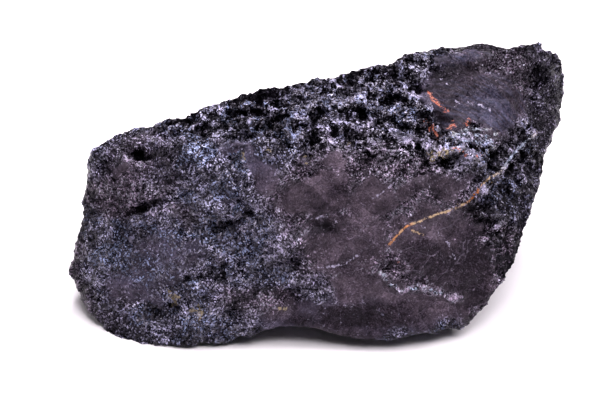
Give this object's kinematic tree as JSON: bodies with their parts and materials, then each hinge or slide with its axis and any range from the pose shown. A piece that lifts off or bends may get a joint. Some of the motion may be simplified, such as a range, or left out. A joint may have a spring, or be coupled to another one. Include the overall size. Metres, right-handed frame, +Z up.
{
  "type": "rough black tourmaline",
  "caption": "Rough black mineral chunk with broken, crystalline faces, for use as a specimen or decoration. It rests on a small flat spot.",
  "frame": {"origin": "centre of the stone's bounding box, at the height of the flat spot it rests on", "axes": "+X along the stone's long side, +Z up, and the broad front face looks towards -Y and leans back"},
  "size_m": [0.0594, 0.0326, 0.026],
  "materials": {
    "schorl": "black with a violet cast, dull vitreous, sparkling where it is crystalline"
  },
  "bodies": {
    "root": {"tourmaline": "schorl"}
  },
  "joints": []
}
